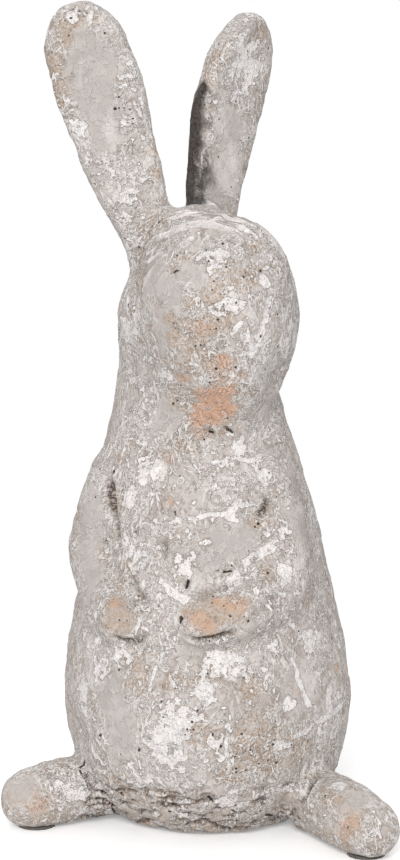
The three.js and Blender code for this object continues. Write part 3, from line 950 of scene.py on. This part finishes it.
def cast_finish(face_middle, face_way):
    """The painted resin: grey ground, tan and terracotta showing, white wash, splashes, pinholes and painted
    shade.
    """
    material, graph = new_finish("cast_resin_finish")
    place = graph.node("ShaderNodeAttribute", {"attribute_name": "cast_place"})["Vector"]
    flow = shaken(graph, place, 20, 8, seed=12)
    grain = graph.noise(place, 1.5, detail=2, roughness=0.65, seed=31)
    fine = graph.noise(place, 0.8, detail=1, roughness=0.6, seed=32)
    broad, middle, small = (film_field(graph, place, name) for name in ("broad", "middle", "small"))
    torn, flecks = (4 * (film_field(graph, place, name) - 0.5) for name in ("torn", "flecks"))
    bare = ragged(graph, "bare", torn, flecks)
    open_air = 1 - bare
    busy = graph.rise(graph.noise(place, 22, detail=3, roughness=0.6, seed=54), 0.38, 0.54) * open_air
    crevice = skirt_crevices(graph, place)
    skirt = (1 - graph.rise(graph.height(place), 5, 26)) * graph.rise(torn, -0.5, 0.4)

    # Films of grey over one another, and where they are smooth or veiled
    veil, veil_rim, veil_shade = film(middle, 0.53, 0.012)
    washed = ragged(graph, "veil", torn, flecks)
    smeared = ragged(graph, "wash", torn, flecks)
    thin, thin_rim, thin_shade = film(small, 0.52, 0.015)

    # Tan, terracotta and orange, where the grey has worn off, and painted shade on the side of an ear
    worn = graph.noise(place, 24, detail=5, roughness=0.65, seed=41)
    worn_off = graph.rise(worn, 0.6, 0.63) * open_air
    tan = most_of(ragged(graph, "tan", torn, flecks), worn_off, 0.8 * skirt)
    crumbly = most_of(tan, crevice)
    stray = graph.rise(graph.noise(place, 19, detail=4, roughness=0.6, seed=42), 0.69, 0.72) * 0.6
    terracotta = most_of(ragged(graph, "terracotta", torn, flecks), stray)
    # The orange is painted lighter than it is, a painted light against the shade under the chin
    orange = ragged(graph, "orange", torn, flecks)
    streaks = graph.noise(place, 2.2, detail=2, seed=43, stretch=(1, 1, 5)) - 0.5
    # Painted shade on the side of the far ear, where it turns from the light
    ear_side_shade = graph.rise(mark(graph, "dark") + 0.6 * torn + 1.2 * streaks, -0.6, 0.6)
    unveiled = 1 - most_of(0.6 * terracotta, 0.8 * orange)

    # Lace of fine pale lines, each with a line of painted shade beside it
    lacy = graph.noise(flow, 10, detail=3, roughness=0.6, seed=51, stretch=(1, 1, 2.2))
    netted = graph.noise(place, 6, detail=3, roughness=0.6, seed=52)
    waves = graph.math("SINE", graph.noise(flow, 6, detail=1, seed=33, stretch=(1, 1, 2)) * 48)
    curls = graph.rise(waves, 0.4, 0.9) * graph.rise(graph.noise(place, 13, detail=1, seed=34), 0.54, 0.62)
    lace = most_of(
        line_of(lacy, 0.5, 0.014) * (0.1 + 0.25 * open_air + 0.65 * busy),
        line_of(netted, 0.5, 0.018) * busy * 0.8,
        veil_rim * (0.15 + 0.6 * busy),
        thin_rim * 0.6 * busy,
        curls * busy,
    )
    beside = most_of(
        line_of(lacy, 0.475, 0.011) * (0.05 + 0.25 * open_air + 0.7 * busy),
        line_of(netted, 0.46, 0.018) * busy * 0.8,
        veil_shade * (0.05 + 0.35 * open_air + 0.6 * busy),
        thin_shade * 0.6 * busy,
    )

    # White wash, torn at its edges and worn through
    wash_spots = graph.math("MINIMUM", mark(graph, "wash"), 0.3) + 0.75 * torn + 0.55 * flecks
    wash_field = 3 * (broad - 0.5) + 0.9 * torn - 0.8 - bare
    small_flecks = flecks + 1.8 * (middle - 0.5) - 0.42 - bare + 0.25 * skirt
    strand_width = 0.2 * (graph.noise(place, 9, detail=2, seed=55) - 0.5) - 0.004 - 0.05 * bare
    strand_noise = graph.noise(flow, 11, detail=3, roughness=0.55, seed=56, stretch=(1, 1, 2.4))
    strands = 9 * (strand_width - abs(strand_noise - 0.5))
    wash_value = most_of(wash_spots, wash_field, small_flecks, strands)
    wash, wash_rim, wash_shade = film(wash_value, 0, 0.1)
    (arc, arc_rim, arc_shade), on_head = brush_arcs(graph, place, face_middle, face_way)

    # Splashes: drops, rings and threads
    bumpy = shaken(graph, place, 2.6, 0.7, seed=60)
    shards = drops(graph, shaken(graph, place, 4, 1.6, seed=62), "shard")
    splashed = most_of(drops(graph, bumpy, "round"), shards, drops(graph, bumpy, "splinter"))
    drop, drop_rim, drop_shade = film(splashed, -0.1, 0.2)
    rings = line_of(drops(graph, bumpy, "ring"), 0.3, 0.3)
    thread_noise = graph.noise(flow, 12, detail=3, seed=71, stretch=(1, 1, 2.6))
    thread_share = graph.rise(graph.noise(place, 9, detail=1, seed=72), 0.52, 0.62)
    threads = line_of(thread_noise, 0.5, 0.011) * thread_share
    splashes = most_of(drop, rings * 0.8, threads * 0.7) * (1 - 0.75 * bare)
    solid = most_of(wash * graph.rise(grain, 0.25, 0.4), arc * on_head * 0.8, splashes)
    rims = most_of(wash_rim, drop_rim * (1 - 0.75 * bare), arc_rim * on_head)
    # Painted shade lines beside the lace, kept off the wash
    lines = beside * 0.75 * (1 - wash)
    shades = most_of(wash_shade, drop_shade * 0.7 * open_air, arc_shade * on_head * 0.8, lines)
    white = most_of(solid * (0.75 + 0.4 * fine), rims, lace * 0.85) * unveiled

    # Pale specks, dirt and painted shade in the creases and crevices, and pits painted dark for the shade in
    # them
    specks = graph.rise(fine, 0.46, 0.28) * (0.1 + 0.4 * crumbly) * open_air
    # Darker down in the creases and the skirt's crevices: dirt and painted shade
    hollow = graph.rise(mark(graph, "crease"), 0.2 * MM, 2.6 * MM) * (0.4 + 0.6 * graph.rise(fine, 0.35, 0.6))
    dirt_and_shade = most_of(hollow, crevice * 0.85 * graph.rise(grain, 0.25, 0.5))
    # Pits, painted near black for the shade inside them
    pinholes = most_of(drops(graph, place, "large_pit"), drops(graph, place, "small_pit"))
    worn_pits = drops(graph, place, "worn_pit") - 1 + tan
    slits = drops(graph, shaken(graph, place, 3, 1.0, seed=83), "slit")
    placed_pits = mark(graph, "pinhole") + 0.3 * flecks - 0.15
    pits = graph.rise(most_of(pinholes, worn_pits, slits, placed_pits), -0.1, 0.15)

    # Coats, from the ground up
    colour = graph.painted(
        GREY,
        (DARK_GREY, graph.rise(broad, 0.5, 0.36) * 0.8),
        (PALE_GREY, graph.rise(broad, 0.5, 0.51) * 0.5),
        (VEIL, veil * 0.4 * (0.3 + 0.7 * grain)),
        (VEIL, washed * (0.4 + 0.6 * grain)),
        (VEIL, smeared * (0.35 + 0.4 * grain)),
        (SMOOTH_GREY, bare * 0.75 * (1 - washed)),
        (PALE_GREY, thin * 0.4),
        (TAN, tan * (0.3 + 0.7 * graph.rise(grain, 0.38, 0.55)) * 0.85),
        (TERRACOTTA, terracotta * (0.4 + 0.7 * grain)),
        # Orange with painted light under the chin
        (ORANGE_WITH_PAINTED_LIGHT, orange * (0.55 + 0.6 * grain)),
        # Painted shade and some dirt along the films' edges and beside the pale lines
        (BROWN, shades * 0.5 * graph.rise(fine, 0.15, 0.6) * unveiled),
        (WHITE, white * (1 - 0.6 * ear_side_shade)),
        (BROWN, graph.rise(fine, 0.54, 0.75) * (0.14 + 0.5 * crumbly)),
        (WHITE, specks),
        # Painted shade on the far ear's side
        (SHADE, ear_side_shade * (0.78 + 0.2 * fine)),
        # Dirt and painted shade in the creases and crevices
        (DIRT_AND_SHADE, dirt_and_shade),
        # Painted shade in the pits
        (PIT_SHADE, pits * 0.9),
    )
    height = (
        0.28 * solid
        + 0.16 * rims
        + 0.18 * lace
        + 0.12 * veil
        + 0.1 * thin
        + 0.14 * grain
        + 0.05 * fine
        - 0.16 * lines
        - 0.6 * pits
        - 0.2 * tan
    )
    return close_finish(material, graph, colour, 0.93 - 0.12 * white, 0.3, height, 1.4 * MM)


def own_place(graph):
    """A CAD node's own coordinates, in mm."""
    return graph.vector("MULTIPLY", graph.node("ShaderNodeTexCoord")["Object"], (1000, 1000, 1000))


def filler_finish():
    """Plain cast resin, poured and scraped level."""
    material, graph = new_finish("filler_resin_finish")
    place = own_place(graph)
    cloudy = graph.noise(place, 9, detail=3, seed=91)
    scraped = graph.noise(place, 1.6, detail=2, seed=92, stretch=(12, 1, 1))
    pits = graph.rise(drops(graph, place, "filler_pit"), -0.05, 0.2)
    colour = graph.painted(FILLER, (PALE_FILLER, graph.rise(cloudy, 0.4, 0.6)), (FILLER_PIT, pits * 0.7))
    height = 0.3 * scraped - pits
    return close_finish(material, graph, colour, 0.75 + 0.2 * scraped, 0.35, height, 0.6 * MM)


def felt_finish():
    """Pressed grey felt with loose fibres."""
    material, graph = new_finish("felt_finish")
    place = own_place(graph)
    one_way = graph.noise(shaken(graph, place, 2, 0.8, seed=94), 0.35, detail=1, seed=95, stretch=(9, 1, 1))
    other_way = graph.noise(shaken(graph, place, 2, 0.8, seed=96), 0.35, detail=1, seed=97, stretch=(1, 9, 1))
    fibres = graph.math("MAXIMUM", one_way, other_way)
    blotches = graph.noise(place, 5, detail=2, seed=98)
    pale = graph.rise(fibres, 0.4, 0.75)
    colour = graph.painted(FELT, (PALE_FELT, pale), (FELT_BLOTCH, graph.rise(blotches, 0.45, 0.7) * 0.5))
    return close_finish(material, graph, colour, 0.97, 0.1, fibres, 0.4 * MM, {"Sheen Weight": 0.3})


def beech_finish():
    """A turned beech dowel: long grain with short dark flecks."""
    material, graph = new_finish("beech_finish")
    place = own_place(graph)
    grain = graph.noise(place, 1.4, detail=3, seed=101, stretch=(1, 1, 14))
    flecks = graph.rise(graph.noise(place, 0.5, seed=102, stretch=(1, 1, 5)), 0.66, 0.72)
    colour = graph.painted(BEECH, (DARK_BEECH, graph.rise(grain, 0.38, 0.62)), (BEECH_FLECK, flecks * 0.6))
    height = grain - 0.5 * flecks
    return close_finish(material, graph, colour, 0.55 + 0.2 * grain, 0.4, height, 0.15 * MM)


def steel_finish():
    """Drawn steel wire with fine drawing lines."""
    material, graph = new_finish("pin_steel_finish")
    place = own_place(graph)
    lines = graph.noise(place, 0.25, detail=2, seed=103, stretch=(1, 1, 40))
    dull = graph.noise(place, 3, detail=2, seed=104)
    colour = graph.painted(STEEL, (PALE_STEEL, dull))
    roughness = 0.25 + 0.25 * dull
    return close_finish(material, graph, colour, roughness, 0.5, lines, 0.03 * MM, {"Metallic": 1.0})


def dress(slot_finish):
    """Gives the CAD solids that still show their finishes, by the start of their names."""
    for node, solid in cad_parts.items():
        for starts, material in slot_finish.items():
            if node.startswith(starts):
                solid.data.materials.clear()
                solid.data.materials.append(material)


skin = joined_skin()
smooth_skin(skin.data)
divide_skin(skin)
finish = cast_finish(*seen_at(surface_of(skin.data), *FACE_MIDDLE))
raise_relief(skin, finish)
part_castings(skin, finish)
resin, felt, beech, steel = filler_finish(), felt_finish(), beech_finish(), steel_finish()
dress({
    "base_plate": resin,
    ("base_felt", "foot_felt"): felt,
    "neck_dowel": beech,
    ("ear_pin", "arm_pin", "foot_pin", "tail_pin"): steel,
})


def straight_rays(graph):
    """1 for what is seen straight, in a gloss or through glass, and 0 for light that falls on things."""
    rays = graph.node("ShaderNodeLightPath")
    return most_of(rays["Is Camera Ray"], rays["Is Glossy Ray"], rays["Is Transmission Ray"])


def pale_floor():
    """A white floor that keeps the shadow and fades out into the white world round it."""
    material, graph = new_finish("pale_floor")
    place = graph.node("ShaderNodeTexCoord")["Object"]
    out = graph.vector("LENGTH", graph.vector("SUBTRACT", place, trunk))
    seen = straight_rays(graph)
    lift = graph.blend((0, 0, 0, 1), FLOOR_LIFT, seen)
    settings = {
        "Base Color": FLOOR_WHITE,
        "Roughness": 0.9,
        "Specular IOR Level": 0.0,
        "Alpha": 1 - graph.rise(out, *FLOOR_FADE),
        "Emission Color": lift,
        "Emission Strength": 1.0,
    }
    shader = graph.node("ShaderNodeBsdfPrincipled", None, settings)
    graph.node("ShaderNodeOutputMaterial", None, {"Surface": shader["BSDF"]})
    return material


def set_stage():
    """A white floor and soft studio light, most of it from the front and above."""
    mesh = bpy.data.meshes.new("floor")
    corners = [(-1, -1, 0), (1, -1, 0), (1, 1, 0), (-1, 1, 0)]
    mesh.from_pydata(corners, [], [(0, 1, 2, 3)])
    mesh.materials.append(pale_floor())
    object_from(mesh, "floor")
    world = bpy.data.worlds.new("studio")
    graph = empty_graph(world)
    strength = WORLD_LIGHT + (1 - WORLD_LIGHT) * straight_rays(graph)
    light = graph.node("ShaderNodeBackground", None, {"Color": (1, 1, 1, 1), "Strength": strength})
    graph.node("ShaderNodeOutputWorld", None, {"Surface": light["Background"]})
    bpy.context.scene.world = world
    for name, (place, size, power) in LAMPS.items():
        lamp = bpy.data.lights.new(name, "AREA")
        lamp.shape = "DISK"
        lamp.size = size
        lamp.energy = power
        holder = object_from(lamp, name)
        holder.location = place
        holder.rotation_mode = "QUATERNION"
        holder.rotation_quaternion = (Vector((0, 0, AIM_HEIGHT)) - Vector(place)).to_track_quat("-Z", "Y")


set_stage()
bpy.context.scene.view_settings.view_transform = "Standard"
